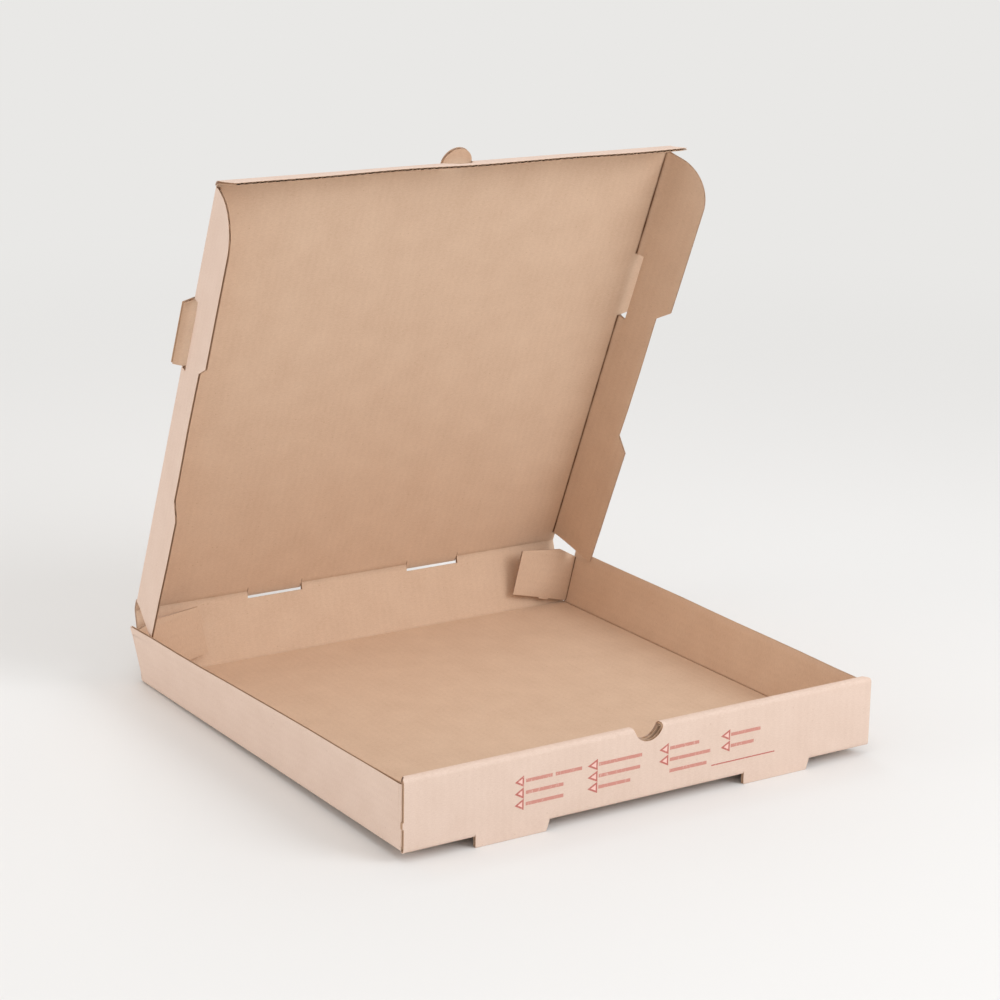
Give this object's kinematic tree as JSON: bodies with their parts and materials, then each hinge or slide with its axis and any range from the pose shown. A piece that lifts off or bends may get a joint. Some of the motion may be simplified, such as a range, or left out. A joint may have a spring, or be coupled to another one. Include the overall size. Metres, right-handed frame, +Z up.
{
  "type": "pizza box",
  "caption": "Square corrugated take-away box, standing open: tray with a rolled front wall and small feet, back flap, hinged lid with three flaps and locking tabs.",
  "frame": {"origin": "centre of the underside of the tray's bottom panel", "axes": "+X to the box's right, seen from its front wall; +Y to the back flap and the lid's hinge; +Z up, out of the tray"},
  "size_m": [0.4361, 0.4296, 0.4426],
  "materials": {
    "kraft_board": "matte uncoated kraft liner, plain brown",
    "print_ink": "thin matte ink, dull brick red"
  },
  "bodies": {
    "tray": {"tray": "kraft_board"},
    "back_flap": {"back_flap": "kraft_board"},
    "lid": {"lid": "kraft_board"},
    "lid_left_flap": {"lid_left_flap": "kraft_board"},
    "lid_right_flap": {"lid_right_flap": "kraft_board"},
    "lid_front_flap": {"lid_front_flap": "kraft_board"},
    "rear_left_corner_flap": {"rear_left_corner_flap": "kraft_board"},
    "rear_right_corner_flap": {"rear_right_corner_flap": "kraft_board"}
  },
  "joints": [
    {"name": "lid_hinge", "type": "hinge", "parent": "back_flap", "child": "lid", "pos_m": [0, 0.21897, 0.05538], "axis": [-1, 0, 0], "range_deg": [-51.1, 85.7]},
    {"name": "back_fold", "type": "hinge", "parent": "tray", "child": "back_flap", "pos_m": [0, 0.206, 0], "axis": [-1, 0, 0], "range_deg": [-16.3, 27.3]},
    {"name": "left_flap_fold", "type": "hinge", "parent": "lid", "child": "lid_left_flap", "pos_m": [-0.2023, 0.22173, 0.05654], "axis": [0, 0.3859, -0.9225], "range_deg": [-11.6, 19.4]},
    {"name": "right_flap_fold", "type": "hinge", "parent": "lid", "child": "lid_right_flap", "pos_m": [0.2023, 0.22173, 0.05654], "axis": [0, -0.3859, 0.9225], "range_deg": [-23.1, 38.7]},
    {"name": "front_flap_fold", "type": "hinge", "parent": "lid", "child": "lid_front_flap", "pos_m": [0, 0.06841, 0.42306], "axis": [-1, 0, 0], "range_deg": [-28.1, 47.1]},
    {"name": "left_corner_fold", "type": "hinge", "parent": "tray", "child": "rear_left_corner_flap", "pos_m": [-0.206, 0.2025, 0], "axis": [0.202, 0, -0.9794], "range_deg": [0, 10]},
    {"name": "right_corner_fold", "type": "hinge", "parent": "tray", "child": "rear_right_corner_flap", "pos_m": [0.206, 0.2025, 0], "axis": [0.2424, 0, 0.9702], "range_deg": [0, 10]}
  ],
  "couplings": [
    {"joint": "back_fold", "follows": "lid_hinge", "ratio": 0.31703},
    {"joint": "left_flap_fold", "follows": "lid_hinge", "ratio": 0.22505},
    {"joint": "right_flap_fold", "follows": "lid_hinge", "ratio": 0.4501},
    {"joint": "front_flap_fold", "follows": "lid_hinge", "ratio": 0.54795}
  ]
}
